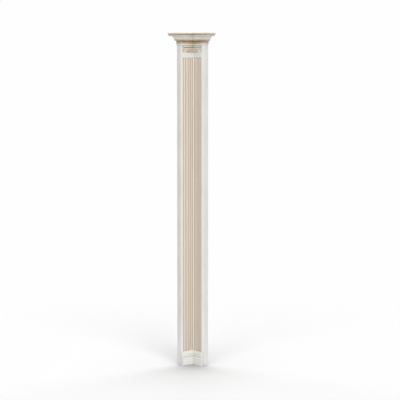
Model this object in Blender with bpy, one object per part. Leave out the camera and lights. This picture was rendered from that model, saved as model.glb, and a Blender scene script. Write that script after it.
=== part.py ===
"""A wooden corner column for an inner corner, in metres with +Z up.

Two fluted boards meet at a right angle and leave a notch between them. Base mouldings and carved
capitals line the notch, and three routed boards on top make the cornice. The two back faces are
flat. A place in the plan is given by its distances p and q from them, so that swapping p and q
turns a left piece into the right one.
"""

from math import cos, hypot, pi, sin, sqrt

import bmesh
import bpy

# The whole column
HEIGHT = 2.200
SIDE = 0.146  # length of each back face
ARM = 0.049  # thickness of each fluted board
END_FLAT = 0.038  # flat part of a board's end face, the rest of it is the chamfer
GAP = 0.0003  # left between pieces that touch

# Flutes
FLUTES = 4  # on each wall of the notch
FLUTE_WIDTH = 0.015
FLUTE_DEPTH = 0.005
NECK = 0.033  # plain wood between the flutes and the capital

# Base moulding, upwards from the floor
PLINTH_OUT = 0.011
PLINTH_FACE = 0.0365
PLINTH_BEAD = 0.018
PLINTH_GROOVE = 0.005
PLINTH_OVOLO = 0.0115
PLINTH_QUIRK = 0.003
PLINTH_HOLLOW = 0.0185
PLINTH_STEP = 0.0015
PLINTH_BEAD_SWELL = 0.003
PLINTH_TOP_OUT = 0.0012

# Carved capital, downwards from the cornice
CAPITAL_OUT = 0.0055
CAPITAL_GROUND = 0.002
CAPITAL_QUIRK = 0.005
CAPITAL_BEAD = 0.0066
CAPITAL_GROOVE = 0.0064
CAPITAL_LIST = 0.0066
CAPITAL_HOLLOW = 0.006
CUSHION_FIELD = 0.017
CUSHION_LENGTH = 0.072
CUSHION_RADIUS = 0.0078
CUSHION_BULGE = 0.0065
OVAL_LENGTH = 0.040
OVAL_HEIGHT = 0.006
OVAL_DEPTH = 0.0035
OVAL_DROP = 0.002  # the oval hollow lies this far below the cushion's middle

# Cornice: neck fillet, bead and hollow, then the cyma, then the cap
NECK_FILLET = 0.0135
NECK_OUT = 0.005
BAND_QUIRK = 0.0015
BAND_BEAD = 0.008
BAND_BEAD_SWELL = 0.006
BAND_HOLLOW = 0.0065
BAND_LIST = 0.006
BAND_OUT = 0.022
CYMA_LIST = 0.0025
CYMA_HEIGHT = 0.0155
CYMA_TOP_LIST = 0.0025
CYMA_FOOT_OUT = 0.025
CYMA_OUT = 0.037
CAP_LIST = 0.002
CAP_HOLLOW = 0.0105
CAP_EDGE = 0.007
CAP_OUT = 0.077
CAP_SLANT = 0.009

# Facets
ARC_STEPS = 6
FLUTE_SIDES = 32
FLUTE_RINGS = 5
CUSHION_ROWS = 24
CAPITAL_COLUMNS = 36
SHARP_ANGLE = 0.6  # radians, edges over this stay sharp

# What follows from these
BOX_SIDE = SIDE + CAP_OUT
WALL = SIDE - 2 * ARM + END_FLAT  # length of a fluted wall
CAP_UNDER = HEIGHT - CAP_LIST - CAP_HOLLOW - CAP_EDGE
CYMA_UNDER = CAP_UNDER - GAP - CYMA_LIST - CYMA_HEIGHT - CYMA_TOP_LIST
BAND_UNDER = CYMA_UNDER - GAP - NECK_FILLET - BAND_QUIRK - BAND_BEAD - BAND_HOLLOW - BAND_LIST
BOARD_TOP = BAND_UNDER - GAP
PLINTH_TOP = PLINTH_FACE + PLINTH_BEAD + PLINTH_GROOVE + PLINTH_OVOLO + PLINTH_QUIRK + PLINTH_HOLLOW
CAPITAL_MOULDS = CAPITAL_QUIRK + CAPITAL_BEAD + CAPITAL_GROOVE + CAPITAL_LIST + CAPITAL_HOLLOW
CAPITAL_UNDER = BOARD_TOP - CAPITAL_MOULDS - CUSHION_FIELD
FLUTE_TOP = CAPITAL_UNDER - NECK


def material(name, colour, roughness):
    """A finish with one colour, as light as the dry surface looks."""
    made = bpy.data.materials.new(name)
    made.use_nodes = True
    shader = made.node_tree.nodes["Principled BSDF"]
    shader.inputs["Base Color"].default_value = (*colour, 1.0)
    shader.inputs["Roughness"].default_value = roughness
    shader.inputs["Metallic"].default_value = 0.0
    made.diffuse_color = (*colour, 1.0)
    return made


def place(p, q, z):
    """World place from the distances to the left and right back faces, and the height."""
    return (p - BOX_SIDE / 2, BOX_SIDE / 2 - q, z)


def front_sum(out):
    """What p and q add up to along both chamfers, when the front is moved out by this much."""
    return SIDE + END_FLAT + out * sqrt(2)


def solid(name, bm, finish, mirrored=False):
    """Makes the object. A mirrored one has p and q swapped."""
    if mirrored:
        for vertex in bm.verts:
            x, y, z = vertex.co
            vertex.co = (-y, -x, z)
        bmesh.ops.reverse_faces(bm, faces=bm.faces)
    mesh = bpy.data.meshes.new(name)
    bm.to_mesh(mesh)
    bm.free()
    mesh.shade_smooth()
    mesh.set_sharp_from_angle(angle=SHARP_ANGLE)
    mesh.materials.append(finish)
    made = bpy.data.objects.new(name, mesh)
    bpy.context.collection.objects.link(made)
    return made


def arc(start, end, upright_first):
    """A quarter round from one (out, height) point to another, without the first of them.

    It leaves the first point upright and meets the second level, or the other way about.
    """
    points = []
    for step in range(1, ARC_STEPS + 1):
        turn = step / ARC_STEPS * pi / 2
        along_out, along_up = sin(turn), 1 - cos(turn)
        if upright_first:
            along_out, along_up = along_up, along_out
        out = start[0] + (end[0] - start[0]) * along_out
        up = start[1] + (end[1] - start[1]) * along_up
        points.append((out, up))
    return points


def bead(out, low, high, swell):
    """A half round that stands out by swell, from one height to another, both ends included."""
    points = []
    for step in range(2 * ARC_STEPS + 1):
        turn = step / (2 * ARC_STEPS) * pi
        up = (low + high) / 2 - (high - low) / 2 * cos(turn)
        points.append((out + swell * sin(turn), up))
    return points


def outline(out):
    """Plan corners of the whole column, its front moved out: back corner, left end, notch, right end."""
    front = front_sum(out)
    end = SIDE + out
    wall = ARM + out
    left = [(0, end), (front - end, end), (wall, front - wall)]
    right = [(q, p) for p, q in reversed(left)]
    return [(0, 0), *left, (wall, wall), *right]


def routed_board(name, under, profile, finish):
    """A board over the whole plan, whose front edge follows (out, height above the underside)."""
    bm = bmesh.new()
    rings = []
    for out, up in profile:
        rings.append([bm.verts.new(place(p, q, under + up)) for p, q in outline(out)[1:]])
    low = bm.verts.new(place(0, 0, under))
    high = bm.verts.new(place(0, 0, under + profile[-1][1]))
    for lower, upper in zip(rings, rings[1:]):
        for i in range(len(lower) - 1):
            bm.faces.new((lower[i], lower[i + 1], upper[i + 1], upper[i]))
    bm.faces.new([low, *reversed(rings[0])])
    bm.faces.new([high, *rings[-1]])
    bm.faces.new([high, low, *[ring[0] for ring in rings]])
    bm.faces.new([low, high, *[ring[-1] for ring in reversed(rings)]])
    return solid(name, bm, finish)


def flute_cutter(name, finish, mirrored):
    """Round bars with ball ends, side by side, that cut the flutes of one wall."""
    radius = (FLUTE_WIDTH**2 / 4 + FLUTE_DEPTH**2) / (2 * FLUTE_DEPTH)
    fillet = (WALL - FLUTES * FLUTE_WIDTH) / (FLUTES + 1)
    low = PLINTH_TOP + fillet + FLUTE_WIDTH / 2
    high = FLUTE_TOP - FLUTE_WIDTH / 2
    rings = []
    for step in range(1, FLUTE_RINGS + 1):
        turn = step / FLUTE_RINGS * pi / 2
        rings.append((radius * sin(turn), radius * cos(turn)))
    levels = [(wide, low - deep) for wide, deep in rings]
    levels += [(wide, high + deep) for wide, deep in reversed(rings)]
    bm = bmesh.new()
    for flute in range(FLUTES):
        p = ARM + radius - FLUTE_DEPTH
        q = ARM + fillet + FLUTE_WIDTH / 2 + flute * (FLUTE_WIDTH + fillet)
        loops = []
        for wide, z in levels:
            loop = []
            for side in range(FLUTE_SIDES):
                turn = side / FLUTE_SIDES * 2 * pi
                loop.append(bm.verts.new(place(p + wide * cos(turn), q - wide * sin(turn), z)))
            loops.append(loop)
        for lower, upper in zip(loops, loops[1:]):
            for i in range(FLUTE_SIDES):
                j = (i + 1) % FLUTE_SIDES
                bm.faces.new((lower[i], lower[j], upper[j], upper[i]))
        bottom = bm.verts.new(place(p, q, low - radius))
        top = bm.verts.new(place(p, q, high + radius))
        for i in range(FLUTE_SIDES):
            j = (i + 1) % FLUTE_SIDES
            bm.faces.new((loops[0][j], loops[0][i], bottom))
            bm.faces.new((loops[-1][i], loops[-1][j], top))
    cutter = solid(name, bm, finish, mirrored)
    cutter.hide_render = True
    cutter.display_type = "WIRE"
    return cutter


def pilaster(name, finish, mirrored):
    """A board with a chamfered front edge, mitred at the back corner and fluted on the notch's wall."""
    mitre = GAP / sqrt(2)
    front = front_sum(0)
    plan = [
        (0, mitre),
        (0, SIDE),
        (END_FLAT, SIDE),
        (ARM, front - ARM),
        (ARM, ARM + mitre),
    ]
    bm = bmesh.new()
    bottom = [bm.verts.new(place(p, q, 0)) for p, q in plan]
    top = [bm.verts.new(place(p, q, BOARD_TOP)) for p, q in plan]
    for i in range(len(plan)):
        j = (i + 1) % len(plan)
        bm.faces.new((bottom[i], bottom[j], top[j], top[i]))
    bm.faces.new(reversed(bottom))
    bm.faces.new(top)
    board = solid(name, bm, finish, mirrored)
    cut = board.modifiers.new("flutes", "BOOLEAN")
    cut.operation = "DIFFERENCE"
    cut.solver = "EXACT"
    cut.object = flute_cutter(name + "_flutes", finish, mirrored)
    return board


def plinth_profile():
    """The base moulding's front, upwards: plain face, bead, groove, ovolo, quirk and hollow."""
    shy = PLINTH_OUT - PLINTH_STEP
    deep = PLINTH_OUT - PLINTH_GROOVE
    bead_top = PLINTH_FACE + PLINTH_BEAD
    ovolo_foot = bead_top + PLINTH_GROOVE
    ovolo_top = ovolo_foot + PLINTH_OVOLO
    hollow_foot = ovolo_top + PLINTH_QUIRK
    points = [(PLINTH_OUT, 0), (PLINTH_OUT, PLINTH_FACE)]
    points += bead(shy, PLINTH_FACE, bead_top, PLINTH_BEAD_SWELL)
    points += [(deep, bead_top), (deep, ovolo_foot), (shy, ovolo_foot)]
    points += arc((shy, ovolo_foot), (deep, ovolo_top), upright_first=True)
    points += [(deep - PLINTH_STEP, ovolo_top), (deep - PLINTH_STEP, hollow_foot), (deep, hollow_foot)]
    points += arc((deep, hollow_foot), (PLINTH_TOP_OUT, PLINTH_TOP), upright_first=False)
    return points


def plinth(name, finish, mirrored):
    """Base moulding from the end face round the chamfer and along the wall to the mitre."""
    profile = [*plinth_profile(), (GAP, PLINTH_TOP), (GAP, 0)]
    stations = [[], [], []]
    for out, up in profile:
        front = front_sum(out)
        wall = ARM + out
        stations[0].append((front - SIDE, SIDE, up))
        stations[1].append((wall, front - wall, up))
        stations[2].append((wall, wall + GAP / sqrt(2), up))
    bm = bmesh.new()
    rings = [[bm.verts.new(place(*spot)) for spot in ring] for ring in stations]
    for near, far in zip(rings, rings[1:]):
        for i in range(len(near)):
            j = (i + 1) % len(near)
            bm.faces.new((near[i], far[i], far[j], near[j]))
    bm.faces.new(rings[0])
    bm.faces.new(reversed(rings[-1]))
    return solid(name, bm, finish, mirrored)


def cushion(along, up):
    """How far the cushion stands out at a place on its field, measured from its middle."""
    beyond = max(0.0, abs(along) - (CUSHION_LENGTH / 2 - CUSHION_RADIUS))
    reach = hypot(beyond, up) / CUSHION_RADIUS
    swell = CUSHION_BULGE * sqrt(max(0.0, 1 - reach**2))
    oval = (2 * along / OVAL_LENGTH) ** 2 + (2 * (up + OVAL_DROP) / OVAL_HEIGHT) ** 2
    return swell - OVAL_DEPTH * max(0.0, 1 - oval)


def capital_rows():
    """The capital's front from the top down: (depth below the top, out), out is None on the cushion."""
    ground = CAPITAL_GROUND
    bead_top = CAPITAL_QUIRK
    bead_foot = bead_top + CAPITAL_BEAD
    list_top = bead_foot + CAPITAL_GROOVE
    list_foot = list_top + CAPITAL_LIST
    rows = [(0, ground), (bead_top, ground)]
    rows += [(down, out) for out, down in bead(ground, bead_top, bead_foot, CAPITAL_OUT - ground)][1:-1]
    rows += [(bead_foot, ground), (list_top, ground), (list_top, CAPITAL_OUT), (list_foot, CAPITAL_OUT)]
    hollow = arc((CAPITAL_OUT - ground / 2, list_foot), (ground, CAPITAL_MOULDS), upright_first=False)
    rows += [(list_foot, CAPITAL_OUT - ground / 2), *[(down, out) for out, down in hollow]]
    middle = CAPITAL_MOULDS + CUSHION_FIELD / 2
    for step in range(CUSHION_ROWS + 1):
        up = CUSHION_RADIUS * cos(step / CUSHION_ROWS * pi)
        rows.append((middle - up, None))
    rows.append((CAPITAL_MOULDS + CUSHION_FIELD, ground))
    return rows


def capital(name, finish, mirrored):
    """Carved capital on one wall, cut flush with the chamfer and mitred in the inner corner."""
    middle = CAPITAL_MOULDS + CUSHION_FIELD / 2

    def spot(share, down, out):
        wall = ARM + out
        outer = front_sum(-GAP) - wall
        inner = wall + GAP / sqrt(2)
        return place(wall, outer + (inner - outer) * share, BOARD_TOP - down)

    bm = bmesh.new()
    grid = []
    for down, out in capital_rows():
        row = []
        for column in range(CAPITAL_COLUMNS + 1):
            share = (1 - cos(column / CAPITAL_COLUMNS * pi)) / 2
            stands = out
            if out is None:
                stands = CAPITAL_GROUND + cushion((share - 0.5) * WALL, middle - down)
            row.append(bm.verts.new(spot(share, down, stands)))
        grid.append(row)
    for upper, lower in zip(grid, grid[1:]):
        for i in range(CAPITAL_COLUMNS):
            bm.faces.new((lower[i], lower[i + 1], upper[i + 1], upper[i]))
    foot = CAPITAL_MOULDS + CUSHION_FIELD
    top_outer, top_inner = (bm.verts.new(spot(share, 0, GAP)) for share in (0, 1))
    low_outer, low_inner = (bm.verts.new(spot(share, foot, GAP)) for share in (0, 1))
    bm.faces.new((low_inner, low_outer, top_outer, top_inner))
    bm.faces.new([*grid[0], top_inner, top_outer])
    bm.faces.new([*reversed(grid[-1]), low_outer, low_inner])
    bm.faces.new([low_outer, *[row[0] for row in reversed(grid)], top_outer])
    bm.faces.new([low_inner, top_inner, *[row[-1] for row in grid]])
    return solid(name, bm, finish, mirrored)


def band_profile():
    """Neck fillet, quirk, bead, hollow and list, upwards."""
    bead_foot = NECK_FILLET + BAND_QUIRK
    bead_top = bead_foot + BAND_BEAD
    hollow_top = bead_top + BAND_HOLLOW
    shy = NECK_OUT / 2
    points = [(NECK_OUT, 0), (NECK_OUT, NECK_FILLET), (shy, NECK_FILLET)]
    points += bead(shy, bead_foot, bead_top, BAND_BEAD_SWELL)
    points += arc((NECK_OUT, bead_top), (BAND_OUT, hollow_top), upright_first=True)
    points += [(BAND_OUT, hollow_top + BAND_LIST)]
    return points


def cyma_profile():
    """A list, an ogee that is hollow below and round above, and the upper list."""
    points = [(CYMA_FOOT_OUT, 0)]
    steps = 2 * ARC_STEPS
    for step in range(steps + 1):
        share = (1 - cos(step / steps * pi)) / 2
        out = CYMA_FOOT_OUT + (CYMA_OUT - CYMA_FOOT_OUT) * share
        points.append((out, CYMA_LIST + CYMA_HEIGHT * step / steps))
    points.append((CYMA_OUT, CYMA_LIST + CYMA_HEIGHT + CYMA_TOP_LIST))
    return points


def cap_profile():
    """A list, a hollow and the square upper edge."""
    foot = CAP_OUT - CAP_SLANT
    points = [(foot, 0), (foot, CAP_LIST)]
    points += arc((foot, CAP_LIST), (CAP_OUT, CAP_LIST + CAP_HOLLOW), upright_first=True)
    points.append((CAP_OUT, HEIGHT - CAP_UNDER))
    return points


def build():
    for thing in list(bpy.data.objects):
        bpy.data.objects.remove(thing, do_unlink=True)
    ivory = material("ivory paint", (0.72, 0.71, 0.67), 0.5)
    glazed = material("glazed ivory paint", (0.62, 0.55, 0.46), 0.5)
    gilt = material("brown gilding", (0.30, 0.19, 0.08), 0.45)
    for side, mirrored in (("left", False), ("right", True)):
        pilaster(side + "_pilaster", ivory, mirrored)
        plinth("plinth_" + side, ivory, mirrored)
        capital("capital_" + side, glazed, mirrored)
    routed_board("bead_band", BAND_UNDER, band_profile(), gilt)
    routed_board("cornice_cove", CYMA_UNDER, cyma_profile(), ivory)
    routed_board("top_board", CAP_UNDER, cap_profile(), glazed)


build()
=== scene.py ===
# %% [markdown]
# # A painted corner column
# The column stands in an inner corner. Two boards meet at a right angle, and the walls of the
# notch between them are fluted. It is painted ivory, and a brown glaze was brushed on and wiped
# off again, so it stays in every groove. The solids come from the frame, and this lesson gives
# them their soft edges, their carving and their paint.

# %% Load the frame
from math import atan, cos, hypot, pi, radians, sin, sqrt, tan

import bmesh
import bpy
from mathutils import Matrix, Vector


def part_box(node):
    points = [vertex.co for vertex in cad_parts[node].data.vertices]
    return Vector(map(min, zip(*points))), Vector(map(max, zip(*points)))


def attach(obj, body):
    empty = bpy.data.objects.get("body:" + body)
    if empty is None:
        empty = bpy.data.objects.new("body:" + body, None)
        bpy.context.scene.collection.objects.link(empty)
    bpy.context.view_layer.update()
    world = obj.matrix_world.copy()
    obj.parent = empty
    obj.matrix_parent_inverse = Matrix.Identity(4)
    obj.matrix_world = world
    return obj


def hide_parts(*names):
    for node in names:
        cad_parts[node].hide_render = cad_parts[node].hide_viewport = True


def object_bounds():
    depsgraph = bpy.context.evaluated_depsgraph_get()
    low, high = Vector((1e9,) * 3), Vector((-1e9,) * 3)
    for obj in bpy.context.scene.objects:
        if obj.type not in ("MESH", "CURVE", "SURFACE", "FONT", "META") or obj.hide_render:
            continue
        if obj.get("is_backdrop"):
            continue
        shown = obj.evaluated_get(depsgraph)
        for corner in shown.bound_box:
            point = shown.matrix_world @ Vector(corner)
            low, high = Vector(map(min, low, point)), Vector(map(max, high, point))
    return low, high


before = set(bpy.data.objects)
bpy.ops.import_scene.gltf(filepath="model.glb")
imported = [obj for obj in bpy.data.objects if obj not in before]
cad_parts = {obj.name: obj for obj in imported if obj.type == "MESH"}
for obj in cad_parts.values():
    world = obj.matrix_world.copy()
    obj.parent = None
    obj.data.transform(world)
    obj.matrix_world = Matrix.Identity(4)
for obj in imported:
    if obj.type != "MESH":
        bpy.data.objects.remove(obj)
cad_low, cad_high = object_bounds()
print("solids:", sorted(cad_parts))

# %% [markdown]
# ## Sizes that the pieces share
# A place in the plan is easiest to give by its distances p and q from the two flat backs. A left
# piece becomes the right one when p and q are swapped. Most sizes are read off the solids, so
# that a changed frame carries the looks along. Only what a box can't tell is written down.

# %% Read the sizes off the solids
HEIGHT = cad_high.z
board_low, board_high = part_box("left_pilaster")
ARM = board_high.x - board_low.x  # thickness of a fluted board
SIDE = cad_high.y - board_low.y  # length of each flat back
BOARD_TOP = board_high.z
PLINTH_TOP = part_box("plinth_left")[1].z
CAPITAL_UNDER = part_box("capital_left")[0].z
BAND_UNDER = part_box("bead_band")[0].z
CAP_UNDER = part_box("top_board")[0].z
END_FLAT = 0.038  # the flat part of a board's end, beside the chamfer
JOINT = 0.0003  # open joint between two pieces
WALL = SIDE - 2 * ARM + END_FLAT  # length of a fluted wall
CHAMFER = SIDE + END_FLAT  # what p and q add up to along both chamfers
print(f"back {SIDE * 1000:.1f} mm, board {ARM * 1000:.1f} mm, wall {WALL * 1000:.1f} mm")


def place(p, q, z):
    """World place from the distances to the left and right backs, and the height."""
    return (cad_low.x + p, cad_high.y - q, z)


# %% [markdown]
# ## Camera
# The long, thin shape tells where the photographer stood. Its upright edges hardly draw
# together, so the camera was far away and the lens long. The cap shows neither its top nor its
# underside, so the eye was nearly as high as the cap. A shift lens would keep the edges quite
# parallel, but it would push the column out of other views, so this camera tips down a little.

# %% Stand the camera where the photographer stood
PICTURE = 400  # pixels along each side
FOCAL = 1250  # focal length in the same pixels
HORIZON_ROW = 96
TOP_ROW = 33.5  # where the middle of the shaft would end above and below
FOOT_ROW = 364.6
AXIS_COLUMN = 192.6
AZIMUTH = radians(51.4)
SENSOR = 36

pitch = atan((PICTURE / 2 - HORIZON_ROW) / FOCAL)
slope_to_foot = tan(atan((FOOT_ROW - PICTURE / 2) / FOCAL) + pitch)
slope_to_top = tan(atan((TOP_ROW - PICTURE / 2) / FOCAL) + pitch)
distance = HEIGHT / (slope_to_foot - slope_to_top)
eye = distance * slope_to_foot
aside = (PICTURE / 2 - AXIS_COLUMN) / FOCAL * distance

axis_x, axis_y, _ = place(SIDE / 2, SIDE / 2, 0)
camera_data = bpy.data.cameras.new("camera")
camera_data.sensor_width = SENSOR
camera_data.lens = FOCAL / PICTURE * SENSOR
camera = bpy.data.objects.new("camera", camera_data)
bpy.context.collection.objects.link(camera)
camera.rotation_euler = (pi / 2 - pitch, 0, AZIMUTH)
camera.location = (
    axis_x + distance * sin(AZIMUTH) + aside * cos(AZIMUTH),
    axis_y - distance * cos(AZIMUTH) + aside * sin(AZIMUTH),
    eye,
)
bpy.context.scene.camera = camera
print(f"camera {distance:.2f} m away, eye at {eye:.2f} m, lens {camera_data.lens:.1f} mm")


# %% [markdown]
# ## Shader steps
# Every finish here is the same few steps: measure a place, turn it into a mask, and lay one
# colour over another through that mask. A few small functions write those steps, so that a
# finish reads like a recipe.

# %% Write the steps
MIX_SHARE, MIX_UNDER, MIX_OVER, MIX_RESULT = 0, 6, 7, 2  # the Mix node's sockets for colours
OPENNESS_SAMPLES = 8


def step(tree, operation, *given):
    """One sum on numbers or sockets."""
    made = tree.nodes.new("ShaderNodeMath")
    made.operation = operation
    for socket, value in zip(made.inputs, given):
        if isinstance(value, bpy.types.NodeSocket):
            tree.links.new(value, socket)
        else:
            socket.default_value = value
    return made.outputs[0]


def rise(tree, source, low, high):
    """A mask that turns smoothly from 0 at low to 1 at high."""
    made = tree.nodes.new("ShaderNodeMapRange")
    made.interpolation_type = "SMOOTHSTEP"
    tree.links.new(source, made.inputs["Value"])
    made.inputs["From Min"].default_value = low
    made.inputs["From Max"].default_value = high
    return made.outputs["Result"]


def outside(tree, mask):
    """Where a mask doesn't hold."""
    return step(tree, "SUBTRACT", 1.0, mask)


def fall(tree, source, low, high):
    """A mask that turns smoothly from 1 at low to 0 at high."""
    return outside(tree, rise(tree, source, low, high))


def both(tree, *masks):
    """Where all the masks hold."""
    result = masks[0]
    for mask in masks[1:]:
        result = step(tree, "MULTIPLY", result, mask)
    return result


def between(tree, mask, first, last):
    """A number that is first where the mask is 0 and last where it is 1."""
    return step(tree, "MULTIPLY_ADD", mask, last - first, first)


def lay(tree, mask, under, over):
    """One colour over another, as far as the mask lets it."""
    made = tree.nodes.new("ShaderNodeMix")
    made.data_type = "RGBA"
    for number, value in ((MIX_SHARE, mask), (MIX_UNDER, under), (MIX_OVER, over)):
        socket = made.inputs[number]
        if isinstance(value, bpy.types.NodeSocket):
            tree.links.new(value, socket)
        elif isinstance(value, tuple):
            socket.default_value = (*value, 1.0)
        else:
            socket.default_value = value
    return made.outputs[MIX_RESULT]


def cloud(tree, where, scale, detail=3.0, roughness=0.5):
    """Noise between 0 and 1, with its own scale along x, y and z."""
    spread = tree.nodes.new("ShaderNodeVectorMath")
    spread.operation = "MULTIPLY"
    tree.links.new(where, spread.inputs[0])
    spread.inputs[1].default_value = scale
    made = tree.nodes.new("ShaderNodeTexNoise")
    made.inputs["Scale"].default_value = 1.0
    made.inputs["Detail"].default_value = detail
    made.inputs["Roughness"].default_value = roughness
    tree.links.new(spread.outputs[0], made.inputs["Vector"])
    return made.outputs["Fac"]


def openness(tree, reach, inside=False):
    """1 on an open surface and less where it is closed in; from inside, less near an outer edge."""
    made = tree.nodes.new("ShaderNodeAmbientOcclusion")
    made.samples = OPENNESS_SAMPLES
    made.inside = inside
    made.inputs["Distance"].default_value = reach
    return made.outputs["AO"]


def separate(tree, where):
    """The three parts of a place."""
    made = tree.nodes.new("ShaderNodeSeparateXYZ")
    tree.links.new(where, made.inputs[0])
    return made.outputs


# %% [markdown]
# ### Where a spot lies
# A finish has to know which face a spot lies on, and here that needs no map. The distances p and
# q from the two backs tell the wall of the notch from the chamfer and from the plain end, and
# which of them is the larger tells the right board from the left. Where a moulding stands out,
# its chamfer and its end stand out with it, at 45 degrees, and the sums follow that.

# %% Tell the faces apart
NOTCH_RIM = 0.0015  # how softly a finish changes at the notch
MITRE_RIM = 0.002  # and at the inner corner
BAND_RIM = 0.0012  # half the width of a glazed line's soft edge


def plan_distances(tree, where):
    """p and q of a place, as sockets."""
    x, y, _ = separate(tree, where)
    p = step(tree, "SUBTRACT", x, cad_low.x)
    q = step(tree, "SUBTRACT", cad_high.y, y)
    return p, q


def on_right(tree, p, q):
    """1 on the right piece of a pair and 0 on the left."""
    return rise(tree, step(tree, "SUBTRACT", p, q), 0.0, MITRE_RIM)


def past_arris(tree, p, q):
    """0 on the notch's walls and 1 on the chamfers, also where a moulding stands out from them."""
    stands_out = step(tree, "MAXIMUM", step(tree, "SUBTRACT", step(tree, "MINIMUM", p, q), ARM), 0.0)
    to_arris = step(tree, "MULTIPLY_ADD", stands_out, -sqrt(2), step(tree, "ADD", p, q))
    return rise(tree, to_arris, CHAMFER - NOTCH_RIM, CHAMFER)


def on_end(tree, p, q):
    """1 on the two ends of a moulding that stands out, beyond its chamfers."""
    far = step(tree, "MAXIMUM", p, q)
    width = step(tree, "MULTIPLY_ADD", step(tree, "SUBTRACT", far, SIDE), sqrt(2) - 1, END_FLAT)
    within = rise(tree, step(tree, "SUBTRACT", width, step(tree, "MINIMUM", p, q)), 0.0, 2 * BAND_RIM)
    return both(tree, within, rise(tree, far, SIDE - BAND_RIM, SIDE))


# %% [markdown]
# ## The paint
# Ivory satin paint on wood shows four things close up. The brush leaves fine streaks along the
# work. The coat is a little thicker here and thinner there, which shows as faint clouds. The
# grain of the wood still lifts it by a tenth of a millimetre. And hands rub it thin on the outer
# edges. The first two are noises that lay a warmer tone on, each between two of its values.
# Inside the notch and on the plinth the ivory is made a little paler than on the plain ends, as painted
# light against the shade that falls there.

# %% Mix the ivory
IVORY = (0.628, 0.627, 0.605)
WARM_IVORY = (0.550, 0.528, 0.478)
NOTCH_PAINTED_LIGHT = (0.690, 0.687, 0.655)  # painted light inside the notch
NOTCH_LIGHT_SHARE = 0.85
UPRIGHT = ((650.0, 650.0, 6.0), (110.0, 110.0, 2.0))  # fine and broad streaks, per metre
LEVEL = ((12.0, 12.0, 700.0), (5.0, 5.0, 130.0))
COAT_CLOUDS = (9.0, 9.0, 5.0)
COAT_TONE = (0.35, 0.75, 0.45)  # begins at, is full at, and how much of the tone it lays on
FINE_TONE = (0.45, 0.75, 0.45)
BROAD_TONE = (0.45, 0.80, 0.35)


def toned(tree, colour, noise, begins, full, share):
    """The warmer tone laid on where a noise is high."""
    mask = step(tree, "MULTIPLY", rise(tree, noise, begins, full), share)
    return lay(tree, mask, colour, WARM_IVORY)


def ivory_coat(tree, where, fine, broad, notch_light, on_chamfer):
    """The ivory with its clouds and streaks, made paler as painted light inside the notch and partly so on
    chamfers.
    """
    colour = toned(tree, IVORY, cloud(tree, where, COAT_CLOUDS), *COAT_TONE)
    colour = toned(tree, colour, fine, *FINE_TONE)
    colour = toned(tree, colour, broad, *BROAD_TONE)
    p, q = plan_distances(tree, where)
    nearer = step(tree, "MINIMUM", p, q)
    # painted light: the ivory is paler inside the notch, where shade falls
    inside = both(tree, rise(tree, nearer, ARM - 3 * NOTCH_RIM, ARM - 2 * NOTCH_RIM),
                  between(tree, past_arris(tree, p, q), 1.0, on_chamfer))
    return lay(tree, step(tree, "MULTIPLY", inside, NOTCH_LIGHT_SHARE), colour, notch_light)


# %% [markdown]
# ### Wash and wear
# The brown glaze is a thin wash over the paint. A rag can't reach the bottom of a groove, so the
# wash stays where the surface is closed in. An ambient occlusion node measures just that, and
# the same node looking from inside finds the outer edges, which hands rub thin. Both come and go
# in patches. The long inner corner is left out, because a rag does reach that.

# %% Hold the wash and rub the edges
WASH = (0.400, 0.290, 0.170)
WASH_REACH = 0.004
WASH_FULL, WASH_GONE = 0.3, 0.85  # how open the surface is where the wash is whole, and gone
WASH_PATCHES = (60.0, 60.0, 22.0)
PATCH_BEGINS, PATCH_FULL = 0.25, 0.7
THINNEST = 0.55  # share of the wash between its patches
CORNER_REACH = 0.010
IN_CORNER = 0.15  # share of the wash in the long inner corner
WORN = (0.560, 0.455, 0.325)
EDGE_REACH = 0.0016
EDGE_FULL, EDGE_GONE = 0.55, 0.9
WEAR_PATCHES = (35.0, 35.0, 14.0)
WEAR_BEGINS, WEAR_FULL = 0.5, 0.68


def held_wash(tree, where, share):
    """Where the wash has stayed, and how much of it."""
    patches = rise(tree, cloud(tree, where, WASH_PATCHES), PATCH_BEGINS, PATCH_FULL)
    closed = fall(tree, openness(tree, WASH_REACH), WASH_FULL, WASH_GONE)
    ways = plan_distances(tree, where)
    corner = both(tree, *[fall(tree, way, ARM + CORNER_REACH / 2, ARM + CORNER_REACH) for way in ways])
    return both(tree, closed, between(tree, patches, THINNEST, 1.0), share,
                between(tree, corner, 1.0, IN_CORNER))


def worn_edges(tree, where, share):
    """Where hands have rubbed the outer edges."""
    edge = fall(tree, openness(tree, EDGE_REACH, inside=True), EDGE_FULL, EDGE_GONE)
    patches = rise(tree, cloud(tree, where, WEAR_PATCHES, detail=5.0), WEAR_BEGINS, WEAR_FULL)
    return both(tree, edge, patches, share)


# %% [markdown]
# ### One recipe for every finish
# All six finishes are the same paint with a glaze of their own, so one function makes them. The
# streaks also change the gloss a little and lift the surface, as real brush marks do.

# %% Write the recipe
GLOSSIEST, DULLEST = 0.36, 0.58  # roughness of a satin paint, which varies with the streaks
RELIEF = 0.0003
RELIEF_STRENGTH = 0.6
BROAD_RELIEF = 1.5  # how much more the broad streaks lift than the fine ones


def no_glaze(tree, where, colour):
    """The colour as it is."""
    return colour


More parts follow.
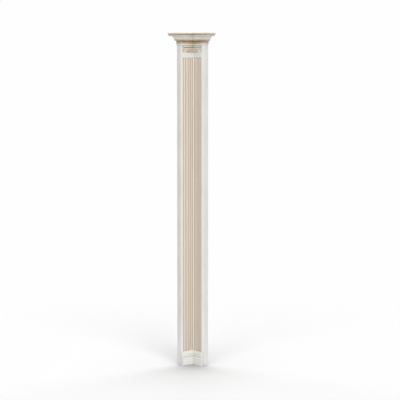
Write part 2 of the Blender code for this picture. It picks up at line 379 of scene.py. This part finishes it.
def painted(name, streaks, glaze=no_glaze, wash=0.45, wear=0.6, notch_light=NOTCH_PAINTED_LIGHT, on_chamfer=0.0):
    """Ivory paint with brush streaks one way. glaze(tree, place, colour) lays its own washes over it."""
    made = bpy.data.materials.new(name)
    made.use_nodes = True
    tree = made.node_tree
    shader = tree.nodes["Principled BSDF"]
    where = tree.nodes.new("ShaderNodeTexCoord").outputs["Object"]
    fine = cloud(tree, where, streaks[0], detail=4.0, roughness=0.6)
    broad = cloud(tree, where, streaks[1])
    colour = ivory_coat(tree, where, fine, broad, notch_light, on_chamfer)
    colour = lay(tree, held_wash(tree, where, wash), colour, WASH)
    colour = glaze(tree, where, colour)
    colour = lay(tree, worn_edges(tree, where, wear), colour, WORN)
    tree.links.new(colour, shader.inputs["Base Color"])
    tree.links.new(between(tree, fine, GLOSSIEST, DULLEST), shader.inputs["Roughness"])
    lift = tree.nodes.new("ShaderNodeBump")
    lift.inputs["Strength"].default_value = RELIEF_STRENGTH
    lift.inputs["Distance"].default_value = RELIEF
    lifted = step(tree, "ADD", fine, step(tree, "MULTIPLY", broad, BROAD_RELIEF))
    tree.links.new(lifted, lift.inputs["Height"])
    tree.links.new(lift.outputs["Normal"], shader.inputs["Normal"])
    print("finish:", name)
    return made


# %% [markdown]
# ### The glazed field
# The fluted field has kept far more glaze than the plain wood round it, and reads beige. A spot
# belongs to the field if it lies before the chamfer, under the neck and no deeper than a flute.
# The upper end of the field wanders a little, because the glaze was brushed on by hand. The rag
# also dragged some of it over the inner half of the chamfer, most of all beside the capital.

# %% Find the glazed field
FLUTES = 4
FLUTE_WIDTH = 0.015
FLUTE_DEPTH = 0.005
NECK = 0.033  # plain wood between the flutes and the capital
FLUTE_TOP = CAPITAL_UNDER - NECK
FILLET = (WALL - FLUTES * FLUTE_WIDTH) / (FLUTES + 1)  # the flat between two flutes
FLUTE_SPACING = FLUTE_WIDTH + FILLET
FIELD_SHARE = 0.92
FADES, FADED = 0.0035, 0.0010  # where the field ends, measured back from the chamfer
BELOW_FLUTE, DEEPER = 0.001, 0.003  # where it ends in the solid, measured from a flute's bottom
ABOVE_FLUTE, HIGHER = 0.001, 0.005  # where it ends upwards, measured from a flute's top
WANDER = 0.006
WANDER_CLOUDS = (120.0, 120.0, 30.0)
SMEAR_FROM, SMEAR_FULL = ARM - 0.0055, ARM - 0.0035
SMEARED, SMEARED_BESIDE = 0.15, 0.60  # along the shaft and beside the capital
BESIDE_RIM = 0.004
print(f"{FLUTES} flutes a wall, one every {FLUTE_SPACING * 1000:.1f} mm")


def before_chamfer(tree, p, q):
    """1 on the wall of the notch, up to where the glaze ends before the chamfer."""
    return fall(tree, step(tree, "ADD", p, q), CHAMFER - FADES, CHAMFER - FADED)


def glazed_field(tree, where, p, q, z):
    """1 on the fluted field."""
    depth = step(tree, "SUBTRACT", ARM, step(tree, "MINIMUM", p, q))
    on_wall = fall(tree, depth, FLUTE_DEPTH + BELOW_FLUTE, FLUTE_DEPTH + DEEPER)
    wandering = step(tree, "MULTIPLY_ADD", cloud(tree, where, WANDER_CLOUDS), WANDER, z)
    under_neck = fall(tree, wandering, FLUTE_TOP + ABOVE_FLUTE, FLUTE_TOP + HIGHER)
    return both(tree, before_chamfer(tree, p, q), on_wall, under_neck, FIELD_SHARE)


def smear(tree, p, q, z):
    """Where the rag dragged glaze over the inner half of the chamfer."""
    nearer = step(tree, "MINIMUM", p, q)
    half = both(tree, outside(tree, before_chamfer(tree, p, q)), rise(tree, nearer, SMEAR_FROM, SMEAR_FULL))
    beside = rise(tree, z, CAPITAL_UNDER, CAPITAL_UNDER + BESIDE_RIM)
    return both(tree, half, between(tree, beside, SMEARED, SMEARED_BESIDE))


# %% [markdown]
# ### Painted shade lines in the field
# Painted shade: dark lines stand in for the shade on each flute's outer edge and on the flats between the
# flutes, and the hollows stay light. The distance from the inner corner, counted in whole flutes, tells how
# far across a flute a spot lies. Beside that corner a narrow strip is painted light, and a first line of
# painted shade follows it. The lines are about as wide as a pixel of the picture, so a few lengths here
# shift single lines to where they are seen.

# %% Draw the dark lines
EDGE_SHADE_BEGINS, EDGE_SHADE_FULL = 0.7 * FLUTE_WIDTH, 0.95 * FLUTE_WIDTH  # the outer edge of a flute
FLAT_RIM = 0.0014  # how softly a line ends where the next flute begins
FIRST_FLAT = 1.1 * FILLET  # no other line lies nearer to the corner
SECOND_LINE_SHIFT = 0.0040  # how far off its flat the left board's second line lies
SHIFTED_TO, UNMOVED = 0.027, 0.030
RIGHT_BEGINS = 0.0265  # how much later the right board's lines begin
LIT_STRIP_LEFT, LIT_STRIP_RIGHT = 0.0024, 0.0072  # width of the clean strip
LIT_STRIP_RIM = 0.0005
LINE_LEFT, LINE_RIGHT = 0.0087, 0.0185  # where the first line ends
LINE_RIM = 0.001
LINE_CLOUDS = (90.0, 90.0, 3.0)
LINE_FAINT, LINE_STRONG = 0.50, 1.00
OUTER_FROM, OUTER_FULL = 0.054, 0.060  # the outermost line of painted shade is darker
OUTER_ADDS = 0.30


def lit_corner_strip(tree, along, right):
    """1 on the strip beside the inner corner that is painted light."""
    past = step(tree, "SUBTRACT", along, between(tree, right, LIT_STRIP_LEFT, LIT_STRIP_RIGHT))
    return fall(tree, past, -LIT_STRIP_RIM, LIT_STRIP_RIM)


def painted_flute_shade(tree, where, along, right):
    """How much painted shade the flats and the flutes' outer edges take."""
    moved = both(tree, fall(tree, along, SHIFTED_TO, UNMOVED), outside(tree, right), SECOND_LINE_SHIFT)
    from_first = step(tree, "SUBTRACT", step(tree, "SUBTRACT", along, moved), FILLET)
    counted = step(tree, "DIVIDE", from_first, FLUTE_SPACING)
    across = step(tree, "MULTIPLY", step(tree, "FRACT", counted), FLUTE_SPACING)
    begun = step(tree, "MULTIPLY_ADD", right, -RIGHT_BEGINS, along)
    edge_shade = both(tree, rise(tree, across, EDGE_SHADE_BEGINS, EDGE_SHADE_FULL),
                  fall(tree, across, FLUTE_SPACING - FLAT_RIM, FLUTE_SPACING),
                  rise(tree, begun, FILLET, FIRST_FLAT))
    past_line = step(tree, "SUBTRACT", along, between(tree, right, LINE_LEFT, LINE_RIGHT))
    first_line = both(tree, fall(tree, past_line, -LINE_RIM, LINE_RIM),
                      outside(tree, lit_corner_strip(tree, along, right)))
    uneven = between(tree, cloud(tree, where, LINE_CLOUDS), LINE_FAINT, LINE_STRONG)
    darker = step(tree, "MULTIPLY_ADD", rise(tree, along, OUTER_FROM, OUTER_FULL), OUTER_ADDS, uneven)
    return step(tree, "MULTIPLY", step(tree, "MAXIMUM", edge_shade, first_line), darker)


# %% [markdown]
# ### Lay the glaze on the boards
# The colours now go on one over another: paler paint towards the floor as painted light, the beige of the
# field, a darker beige on the right board as painted shade, a paler one towards the inner corner as painted
# light, and then the painted shade lines and the smear.

# %% Glaze the fluted boards
FIELD_GLAZE = (0.640, 0.560, 0.472)
RIGHT_PAINTED_SHADE = (0.520, 0.445, 0.360)
RIGHT_SHADE_SHARE = 0.5
CORNER_PAINTED_LIGHT = (0.790, 0.735, 0.660)
CORNER_LIGHT_SHARE = 0.30
PALE_FROM, PALE_TO = 0.010, 0.050
FLUTE_PAINTED_SHADE = (0.330, 0.260, 0.190)
FOOT_PAINTED_LIGHT = (0.740, 0.740, 0.725)
FOOT_LIGHT_SHARE = 0.55
FOOT_LIGHT_BELOW = 0.40
SMEAR = (0.440, 0.375, 0.300)


def flute_glaze(tree, where, colour):
    """The boards' glaze over a colour."""
    p, q = plan_distances(tree, where)
    z = separate(tree, where)[2]
    along = step(tree, "SUBTRACT", step(tree, "MAXIMUM", p, q), ARM)
    right = on_right(tree, p, q)
    field = glazed_field(tree, where, p, q, z)
    # painted light: paler ivory towards the floor, against the shade near the foot
    foot_light = both(tree, fall(tree, z, 0.0, FOOT_LIGHT_BELOW), FOOT_LIGHT_SHARE)
    colour = lay(tree, foot_light, colour, FOOT_PAINTED_LIGHT)
    colour = lay(tree, field, colour, FIELD_GLAZE)
    # painted shade: a darker beige on the right board's field
    colour = lay(tree, both(tree, field, right, RIGHT_SHADE_SHARE), colour, RIGHT_PAINTED_SHADE)
    # painted light: the field turns paler towards the inner corner, against the shade there
    inner = fall(tree, along, PALE_FROM, PALE_TO)
    colour = lay(tree, both(tree, field, inner, CORNER_LIGHT_SHARE), colour, CORNER_PAINTED_LIGHT)
    # painted light on the narrow strip beside the inner corner
    colour = lay(tree, both(tree, field, lit_corner_strip(tree, along, right)), colour, CORNER_PAINTED_LIGHT)
    # painted shade: dark lines on the flats and the flutes' outer edges
    colour = lay(tree, both(tree, field, painted_flute_shade(tree, where, along, right)), colour, FLUTE_PAINTED_SHADE)
    return lay(tree, smear(tree, p, q, z), colour, SMEAR)


shaft_paint = painted("shaft_paint", UPRIGHT, flute_glaze)

# %% [markdown]
# ### Glaze by height
# On the mouldings the glaze follows the levels: a dark line in each groove, gold on the rounds.
# A band is a mask between two heights with soft ends, and each finish is a list of such bands,
# counted up from the piece's underside. A glaze can also be thinner on the chamfers or on the
# ends of a moulding.

# %% Write the bands
LINE_BROWN = (0.300, 0.215, 0.130)
SOFT_BROWN = (0.480, 0.390, 0.290)
GOLD = (0.600, 0.480, 0.330)
BAND_GOLD = (0.500, 0.375, 0.220)
DARK_GOLD = (0.330, 0.240, 0.135)
BAND_CLOUDS = (45.0, 45.0, 60.0)
BAND_THIN, BAND_THICK = 0.72, 1.22


def bands(under, *given, on_chamfer=1.0, on_ends=1.0):
    """A glaze made of (lowest, highest, colour, strength), one over the other."""

    def glaze(tree, where, colour):
        z = separate(tree, where)[2]
        p, q = plan_distances(tree, where)
        patchy = both(
            tree,
            between(tree, cloud(tree, where, BAND_CLOUDS), BAND_THIN, BAND_THICK),
            between(tree, past_arris(tree, p, q), 1.0, on_chamfer),
            between(tree, on_end(tree, p, q), 1.0, on_ends),
        )
        for low, high, over, strength in given:
            above = rise(tree, z, under + low - BAND_RIM, under + low + BAND_RIM)
            below = fall(tree, z, under + high - BAND_RIM, under + high + BAND_RIM)
            colour = lay(tree, both(tree, above, below, patchy, strength), colour, over)
        return colour

    return glaze


# %% [markdown]
# ### The finishes of the mouldings
# The plinth is painted palest, as painted light against the shade at the foot, with two faint lines, which
# were mostly wiped off its chamfers.
# The band over the capitals is gold and brown all round, the cove above it is plain ivory, and
# the cap has a dark edge between two softer browns. The band and the cap are glazed a little
# more thinly on their ends.

# %% Glaze the mouldings
# painted light: a paler ivory on the plinth stands in for light at the shaded foot
PLINTH_PAINTED_LIGHT = (0.800, 0.798, 0.765)
plinth_paint = painted("plinth_paint", LEVEL, bands(
    0.0,
    (0.0545, 0.0595, SOFT_BROWN, 0.55),
    (0.0710, 0.0740, SOFT_BROWN, 0.40),
    on_chamfer=0.3,
), wear=0.25, notch_light=PLINTH_PAINTED_LIGHT, on_chamfer=0.4)
band_gilding = painted("band_gilding", LEVEL, bands(
    BAND_UNDER,
    (0.0070, 0.0135, SOFT_BROWN, 0.60),
    (0.0125, 0.0150, LINE_BROWN, 0.80),
    (0.0145, 0.0235, BAND_GOLD, 0.95),
    (0.0230, 0.0300, DARK_GOLD, 0.90),
    (0.0295, 0.0345, BAND_GOLD, 0.90),
    on_ends=0.8,
))
cove_paint = painted("cove_paint", LEVEL, wash=0.08)
cap_glaze = painted("cap_glaze", LEVEL, bands(
    CAP_UNDER,
    (-0.002, 0.0045, SOFT_BROWN, 0.25),
    (0.0040, 0.0128, LINE_BROWN, 1.00),
    (0.0125, 0.0200, SOFT_BROWN, 0.62),
    on_ends=0.7,
))

# %% [markdown]
# ## Standing for a solid
# Each finished piece takes the place of one solid of the frame. It moves with the same body, and
# it has a named slot for its finish, so that another finish can be put on later.

# %% Make a mesh stand for a solid
def closed_mesh(name, bm):
    """A smooth mesh from what was built."""
    mesh = bpy.data.meshes.new(name)
    bm.to_mesh(mesh)
    bm.free()
    mesh.shade_smooth()
    return mesh


def stand_for(name, mesh, finish, node):
    """Links a mesh as the piece that stands for a solid."""
    mesh.materials.append(finish)
    piece = bpy.data.objects.new(name, mesh)
    bpy.context.collection.objects.link(piece)
    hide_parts(node)
    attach(piece, "root")
    print(name, len(mesh.polygons), "faces")
    return piece


# %% [markdown]
# ## Softening the edges
# No painted edge is sharp: sandpaper takes half a millimetre off, and the paint rounds the rest.
# A Bevel modifier does that in one step if the mesh has clean polygons. The solids come as
# triangles with split corners, so the copy is first welded and its flat triangles are joined.

# %% Sand the mouldings
SANDED = 0.0006
TURNS = 2  # faces round a softened edge
CREASE = radians(28)  # an edge that turns by more than this is softened
FLAT = radians(1.0)  # and one that turns by less than this is joined
WELD = 0.00001


def sanded(name, node, finish):
    """A copy of a solid with soft edges."""
    bm = bmesh.new()
    bm.from_mesh(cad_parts[node].data)
    bmesh.ops.remove_doubles(bm, verts=bm.verts, dist=WELD)
    bmesh.ops.dissolve_limit(bm, angle_limit=FLAT, verts=bm.verts, edges=bm.edges)
    piece = stand_for(name, closed_mesh(name, bm), finish, node)
    soften = piece.modifiers.new("soft edges", "BEVEL")
    soften.width = SANDED
    soften.segments = TURNS
    soften.limit_method = "ANGLE"
    soften.angle_limit = CREASE
    soften.harden_normals = True


for side in ("left", "right"):
    sanded(f"base_moulding_{side}", f"plinth_{side}", plinth_paint)
sanded("gilded_band", "bead_band", band_gilding)
sanded("cove_moulding", "cornice_cove", cove_paint)
sanded("cap", "top_board", cap_glaze)

# %% [markdown]
# ## The fluted boards
# A flute is routed with a round-nosed cutter, so it is a round channel with a ball at each end.
# How deep it is at any spot depends only on the distance to its middle line, and one formula
# gives the whole wall. The board is then a stack of level rings, close together where the
# flutes end and far apart between, because nothing changes there.

# %% Measure the flutes
RUBBED = 0.0005  # how wide a flute's edge is rubbed round

radius = (FLUTE_WIDTH**2 / 4 + FLUTE_DEPTH**2) / (2 * FLUTE_DEPTH)
flute_low = PLINTH_TOP + FILLET + FLUTE_WIDTH / 2
flute_high = FLUTE_TOP - FLUTE_WIDTH / 2
print(f"cutter radius {radius * 1000:.1f} mm, fillets {FILLET * 1000:.1f} mm")


def flute_cut(along, z):
    """Depth of the wall below its face, at a distance from the inner corner and a height."""
    first = FILLET + FLUTE_WIDTH / 2
    number = min(FLUTES - 1, max(0, round((along - first) / FLUTE_SPACING)))
    middle = first + number * FLUTE_SPACING
    past_end = max(0.0, flute_low - z, z - flute_high)
    away = hypot(along - middle, past_end)
    below = sqrt(max(0.0, radius**2 - away**2)) - (radius - FLUTE_DEPTH)
    below -= max(0.0, away - radius)
    return (below + sqrt(below**2 + RUBBED**2)) / 2


# %% [markdown]
# ### Outline and rings
# The outline is drawn once, for the left board. Its outer corners are rubbed round, and it keeps
# half of the open joint away from the mitre, so that the joint shows as a fine line.

# %% Draw the outline and the rings
END_ROWS = 20
LONG_ROWS = 12
CORNER_TURNS = 3
PAST_END = 0.2 * FLUTE_WIDTH  # how far the close rings reach into the straight flute


def toward(point, other, length):
    """The spot that far from a point on the way to another."""
    far = hypot(other[0] - point[0], other[1] - point[1])
    return tuple(a + (b - a) * length / far for a, b in zip(point, other))


def round_corner(before, corner, after, length):
    """Points that cut a corner in a soft curve, that far back on each side."""
    start = toward(corner, before, length)
    end = toward(corner, after, length)
    points = []
    for turn in range(CORNER_TURNS + 1):
        t = turn / CORNER_TURNS
        mix = ((1 - t) ** 2, 2 * t * (1 - t), t**2)
        points.append(tuple(mix[0] * a + mix[1] * b + mix[2] * c for a, b, c in zip(start, corner, end)))
    return points


def board_plan():
    """Plan of the left board without its fluted wall, from the mitre round the end to that wall."""
    back, end_back = (0.0, JOINT / sqrt(2)), (0.0, SIDE)
    end_front, strip_front = (END_FLAT, SIDE), (ARM, CHAMFER - ARM)
    inner = (ARM, ARM + JOINT / sqrt(2))
    plan = [back]
    plan += round_corner(back, end_back, end_front, SANDED)
    plan += round_corner(end_back, end_front, strip_front, SANDED)
    plan += round_corner(end_front, strip_front, inner, SANDED)
    return plan, inner


def board_levels():
    """Heights of the rings."""
    span = FLUTE_WIDTH + PAST_END
    levels = [0.0]
    levels += [flute_low - FLUTE_WIDTH + span * i / END_ROWS for i in range(END_ROWS + 1)]
    levels += [flute_low + (flute_high - flute_low) * i / LONG_ROWS for i in range(1, LONG_ROWS)]
    levels += [flute_high - PAST_END + span * i / END_ROWS for i in range(END_ROWS + 1)]
    return [*levels, BOARD_TOP]


print(len(board_levels()), "rings")

# %% [markdown]
# ### Joining the rings
# Each ring is joined to the next one with four-sided faces, and the first and the last ring are
# closed with one face each. The right board is the left one with p and q swapped. That turns its
# faces inside out, so they are turned back.

# %% Cut the fluted boards
WALL_COLUMNS = 144


def fluted_board(side):
    """One board with its flutes."""
    plan, inner = board_plan()
    reach = inner[1] - plan[-1][1]
    wall = [plan[-1][1] + reach * i / WALL_COLUMNS for i in range(1, WALL_COLUMNS + 1)]
    bm = bmesh.new()
    rings = []
    for z in board_levels():
        spots = plan + [(ARM - flute_cut(q - ARM, z), q) for q in wall]
        if side == "right":
            spots = [(q, p) for p, q in spots]
        rings.append([bm.verts.new(place(p, q, z)) for p, q in spots])
    for lower, upper in zip(rings, rings[1:]):
        for i in range(len(lower)):
            j = (i + 1) % len(lower)
            bm.faces.new((lower[i], lower[j], upper[j], upper[i]))
    bm.faces.new(reversed(rings[0]))
    bm.faces.new(rings[-1])
    if side == "right":
        bmesh.ops.reverse_faces(bm, faces=bm.faces)
    name = f"fluted_board_{side}"
    mesh = closed_mesh(name, bm)
    mesh.set_sharp_from_angle(angle=CREASE)
    stand_for(name, mesh, shaft_paint, f"{side}_pilaster")


for side in ("left", "right"):
    fluted_board(side)

# %% [markdown]
# ## The carved capitals
# A capital is a carved strip on each wall: a groove, a bead, a second groove, a list, a hollow
# and a long cushion with an oval dished into it. Seen square on, each spot stands out by one
# number, so the carving can be written as one formula for how far it stands out.

# %% Measure the carving
CAPITAL_OUT = 0.0055  # how far the list and the bead stand out
GROUND = 0.002  # how far the grooves do
QUIRK = 0.005  # heights of the members, from the top down
BEAD = 0.0066
GROOVE = 0.0064
LIST = 0.0066
HOLLOW = 0.006
UNDER_LIST = 0.001  # small step between the list and the hollow
CUSHION_LENGTH = 0.072
CUSHION_RADIUS = 0.0078
CUSHION_BULGE = 0.0065
OVAL_LENGTH = 0.040
OVAL_HEIGHT = 0.006
OVAL_DEPTH = 0.0035
OVAL_DROP = 0.002
RIM_HEIGHT = 0.0006
RIM_MIDDLE, RIM_HALF = 1.35, 0.6  # in the oval's own measure, which is 1 along its edge

capital_height = BOARD_TOP - CAPITAL_UNDER
bead_top = QUIRK
groove_top = bead_top + BEAD
list_top = groove_top + GROOVE
hollow_top = list_top + LIST
cushion_top = hollow_top + HOLLOW
cushion_middle = (cushion_top + capital_height) / 2
print(f"capital {capital_height * 1000:.1f} mm high, cushion from {cushion_top * 1000:.1f} mm down")


def carving(along, down):
    """How far the capital stands out, along from its middle and down from its top."""
    if bead_top < down < groove_top:
        off = 2 * (down - bead_top) / BEAD - 1
        return GROUND + (CAPITAL_OUT - GROUND) * sqrt(1 - off**2)
    if list_top < down < hollow_top:
        return CAPITAL_OUT
    if hollow_top <= down < cushion_top:
        share = (down - hollow_top) / HOLLOW
        return GROUND + (CAPITAL_OUT - UNDER_LIST - GROUND) * (1 - sin(share * pi / 2))
    if down < cushion_top:
        return GROUND
    up = cushion_middle - down
    beyond = max(0.0, abs(along) - (CUSHION_LENGTH / 2 - CUSHION_RADIUS))
    swell = CUSHION_BULGE * sqrt(max(0.0, 1 - (hypot(beyond, up) / CUSHION_RADIUS) ** 2))
    oval = (2 * along / OVAL_LENGTH) ** 2 + (2 * (up + OVAL_DROP) / OVAL_HEIGHT) ** 2
    rim = RIM_HEIGHT * max(0.0, 1 - abs(oval - RIM_MIDDLE) / RIM_HALF)
    return GROUND + swell - OVAL_DEPTH * max(0.0, 1 - oval) + rim


# %% [markdown]
# ### A softened grid
# The formula is sampled on a fine grid, and each spot is then mixed with its neighbours, which
# is what sandpaper and paint do to crisp carving. A Bevel modifier would need clean edges, and
# an oval dished into a round cushion has none.

# %% Sample and blur the carving
ROW_HEIGHT = 0.0004
CAPITAL_COLUMNS = 150
BLURS = 2


def mixed(line):
    """Each number of a line mixed with its two neighbours."""
    last = len(line) - 1
    return [(line[max(0, i - 1)] + 2 * line[i] + line[min(last, i + 1)]) / 4 for i in range(last + 1)]


def blurred(field):
    """Each column and each row mixed a little."""
    for _ in range(BLURS):
        columns = [mixed(column) for column in zip(*field)]
        field = [mixed(row) for row in zip(*columns)]
    return field


def capital_grid():
    """The heights of the carving, row by row from the top."""
    rows = round(capital_height / ROW_HEIGHT)
    field = []
    for r in range(rows + 1):
        down = capital_height * r / rows
        columns = range(CAPITAL_COLUMNS + 1)
        field.append([carving((c / CAPITAL_COLUMNS - 0.5) * WALL, down) for c in columns])
    return blurred(field)


carved = capital_grid()
print(f"{len(carved)} rows of {len(carved[0])} spots")

# %% [markdown]
# ### From the grid to a closed piece
# The grid is only the front. It is closed with four flat sides and a flat back, which touches
# the board's wall but for the open joint. One end is cut flush with the chamfer and the other is
# mitred. Both slant, so a spot also shifts along the wall as it stands out further.

# %% Carve the capitals
CARVING_CREASE = radians(60)  # only the cut ends stay sharp


def carved_capital(side, field):
    """One capital, cut flush with the chamfer and mitred in the inner corner."""

    def spot(share, down, out):
        wall = ARM + out
        outer = CHAMFER - JOINT * sqrt(2) - wall
        inner = wall + JOINT / sqrt(2)
        along = outer + (inner - outer) * share
        p, q = (wall, along) if side == "left" else (along, wall)
        return place(p, q, BOARD_TOP - down)

    bm = bmesh.new()
    last = len(field) - 1
    grid = []
    for r, heights in enumerate(field):
        down = capital_height * r / last
        grid.append([bm.verts.new(spot(c / CAPITAL_COLUMNS, down, out)) for c, out in enumerate(heights)])
    for upper, lower in zip(grid, grid[1:]):
        for i in range(CAPITAL_COLUMNS):
            bm.faces.new((lower[i], lower[i + 1], upper[i + 1], upper[i]))
    top_outer, top_inner = (bm.verts.new(spot(share, 0, JOINT)) for share in (0, 1))
    low_outer, low_inner = (bm.verts.new(spot(share, capital_height, JOINT)) for share in (0, 1))
    bm.faces.new((low_inner, low_outer, top_outer, top_inner))
    bm.faces.new([*grid[0], top_inner, top_outer])
    bm.faces.new([*reversed(grid[-1]), low_outer, low_inner])
    bm.faces.new([low_outer, *[row[0] for row in reversed(grid)], top_outer])
    bm.faces.new([low_inner, top_inner, *[row[-1] for row in grid]])
    if side == "right":
        bmesh.ops.reverse_faces(bm, faces=bm.faces)
    name = f"carved_capital_{side}"
    mesh = closed_mesh(name, bm)
    mesh.set_sharp_from_angle(angle=CARVING_CREASE)
    stand_for(name, mesh, capital_glaze, f"capital_{side}")


# %% [markdown]
# ### The capital's glaze
# Here the glaze works in lines: brown in both grooves, pale on the bead and the list, and golden on the
# cushion. The dished oval holds the most, and its mask is the ellipse that the carving itself uses. The
# right capital was wiped a little more than the left, and the outer end of each is darker brown.

# %% Glaze and set the capitals
GOLD_FROM = 0.0030
DISH_FULL, DISH_GONE = 0.6, 1.5  # in the oval's own measure
DISH_SHARE = 0.9
WIPED_SHARE = 0.3  # how much of the right capital's glaze was wiped off
DARK_END = 0.013  # length of the darker outer end
END_BROWN = (0.300, 0.250, 0.190)
END_SHARE = 0.4


def from_top(down):
    """A height above the capital's underside from a depth below its top."""
    return capital_height - down


capital_bands = bands(
    CAPITAL_UNDER,
    (GOLD_FROM, from_top(hollow_top), GOLD, 0.80),
    (from_top(cushion_top), from_top(hollow_top), SOFT_BROWN, 0.55),
    (from_top(hollow_top), from_top(list_top), SOFT_BROWN, 0.08),
    (from_top(list_top), from_top(groove_top), LINE_BROWN, 0.90),
    (from_top(groove_top), from_top(bead_top), SOFT_BROWN, 0.05),
    (from_top(bead_top), from_top(0.0), SOFT_BROWN, 0.80),
)


def carving_glaze(tree, where, colour):
    """The capitals' glaze over a colour."""
    p, q = plan_distances(tree, where)
    z = separate(tree, where)[2]
    along = step(tree, "SUBTRACT", step(tree, "MAXIMUM", p, q), ARM + WALL / 2)
    up = step(tree, "SUBTRACT", z, BOARD_TOP - cushion_middle - OVAL_DROP)
    across = step(tree, "MULTIPLY", along, 2 / OVAL_LENGTH)
    upright = step(tree, "MULTIPLY", up, 2 / OVAL_HEIGHT)
    squares = [step(tree, "MULTIPLY", part, part) for part in (across, upright)]
    dish = fall(tree, step(tree, "ADD", *squares), DISH_FULL, DISH_GONE)
    outer_end = rise(tree, along, WALL / 2 - DARK_END, WALL / 2 - DARK_END / 2)
    glazed = capital_bands(tree, where, colour)
    glazed = lay(tree, step(tree, "MULTIPLY", dish, DISH_SHARE), glazed, LINE_BROWN)
    glazed = lay(tree, step(tree, "MULTIPLY", on_right(tree, p, q), WIPED_SHARE), glazed, colour)
    return lay(tree, step(tree, "MULTIPLY", outer_end, END_SHARE), glazed, END_BROWN)


capital_glaze = painted("capital_glaze", LEVEL, carving_glaze)
for side in ("left", "right"):
    carved_capital(side, carved)

# %% [markdown]
# ## Floor
# The floor is pale and seamless. One square does for it, so large that its rim never shows. It
# lies a hair below the underside, so that the two faces don't fight for the same place.

# %% Lay the floor
FLOOR_HALF = 14.0
FLOOR_DROP = 0.0002

floor_mesh = bpy.data.meshes.new("floor")
corners = [(-FLOOR_HALF, -FLOOR_HALF, 0), (FLOOR_HALF, -FLOOR_HALF, 0),
           (FLOOR_HALF, FLOOR_HALF, 0), (-FLOOR_HALF, FLOOR_HALF, 0)]
floor_mesh.from_pydata(corners, [], [(0, 1, 2, 3)])
floor = bpy.data.objects.new("floor", floor_mesh)
floor.location.z = -FLOOR_DROP
bpy.context.collection.objects.link(floor)
floor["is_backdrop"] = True
print(f"floor {2 * FLOOR_HALF:.0f} m wide")

# %% [markdown]
# ### From shadow to white
# Near the column the floor takes the soft shadows, and further out it turns into plain white, as a studio's
# sweep does. Right at the foot little light gets in, and a painted shadow, laid through the mask for closed
# surfaces, darkens the floor's colour there.

# %% Paint the floor
STUDIO_WHITE = (0.99, 0.99, 0.99)
FLOOR_WHITE = (0.915, 0.915, 0.915)
FLOOR_PAINTED_SHADOW = (0.28, 0.28, 0.28)
SHADED_TO, WHITE_FROM = 0.8, 3.2  # distances from the column between which the floor turns white
CONTACT_REACH = 0.80  # how far round the foot the painted shadow reaches

floor_look = bpy.data.materials.new("studio_floor")
floor_look.use_nodes = True
tree = floor_look.node_tree
tree.nodes.clear()
where = tree.nodes.new("ShaderNodeTexCoord").outputs["Object"]
length = tree.nodes.new("ShaderNodeVectorMath")
length.operation = "LENGTH"
tree.links.new(where, length.inputs[0])
matte = tree.nodes.new("ShaderNodeBsdfDiffuse")
contact_shadow = outside(tree, openness(tree, CONTACT_REACH))
# painted shadow: the floor's colour darkens near the foot
tree.links.new(lay(tree, contact_shadow, FLOOR_WHITE, FLOOR_PAINTED_SHADOW), matte.inputs["Color"])
glow = tree.nodes.new("ShaderNodeEmission")
glow.inputs["Color"].default_value = (*STUDIO_WHITE, 1.0)
mixer = tree.nodes.new("ShaderNodeMixShader")
far_off = rise(tree, length.outputs["Value"], SHADED_TO, WHITE_FROM)
for socket, given in zip(mixer.inputs, (far_off, matte.outputs[0], glow.outputs[0])):
    tree.links.new(given, socket)
output = tree.nodes.new("ShaderNodeOutputMaterial")
tree.links.new(mixer.outputs[0], output.inputs["Surface"])
floor_mesh.materials.append(floor_look)
print("finish:", floor_look.name)

# %% [markdown]
# ## Light
# The floor shows two soft shadows behind the column and one broad one in front, so two large
# softboxes hang in front and three behind. One more stands low near the camera, a little to the
# right, and reaches into the notch, which is why faces that look right are lighter. The column
# is as bright at its foot as at its cap, so all of them are far away. A sun with a wide disc is
# just that: a big softbox far off.

# %% Hang the softboxes
SOFTBOXES = (  # name, degrees round from the camera, height in degrees, strength
    ("front", 14, 15, 0.78),
    ("front_right", 22, 38, 0.80),
    ("front_left", -22, 38, 0.64),
    ("back_right", 142, 48, 0.66),
    ("back", 180, 48, 0.70),
    ("back_left", -142, 48, 0.66),
)
SOFTBOX_WIDTH = radians(28)  # as the column sees it


def softbox(name, round_by, height, strength):
    """A soft light from far away."""
    data = bpy.data.lights.new(name, "SUN")
    data.angle = SOFTBOX_WIDTH
    data.energy = strength
    lamp = bpy.data.objects.new(name, data)
    lamp.rotation_euler = (pi / 2 - radians(height), 0, AZIMUTH + radians(round_by))
    bpy.context.collection.objects.link(lamp)
    print(f"{name}: {strength}")


for box in SOFTBOXES:
    softbox(*box)

# %% [markdown]
# ### The white room
# The world stands for the room. Its brightness depends on how high a direction points, which
# its generated coordinates give: white walls round the horizon, and a dimmer ceiling.

# %% Paint the room
CEILING = (0.22, 0.22, 0.22)
CEILING_FROM, CEILING_FULL = 0.12, 0.30  # how steeply a direction points up, as a sine

world = bpy.data.worlds.new("white_room")
world.use_nodes = True
room = world.node_tree
toward_sky = separate(room, room.nodes.new("ShaderNodeTexCoord").outputs["Generated"])[2]
shade = lay(room, rise(room, toward_sky, CEILING_FROM, CEILING_FULL), STUDIO_WHITE, CEILING)
room.links.new(shade, room.nodes["Background"].inputs["Color"])
bpy.context.scene.world = world
bpy.context.scene.view_settings.view_transform = "Standard"
print("world:", world.name)

# %% [markdown]
# ## The size before and after
# The finished pieces should keep the column's size, so both boxes are printed side by side.

# %% Write the sizes
new_low, new_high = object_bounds()
for name, span in (("cad", cad_high - cad_low), ("now", new_high - new_low)):
    print(name, [round(v, 4) for v in span])
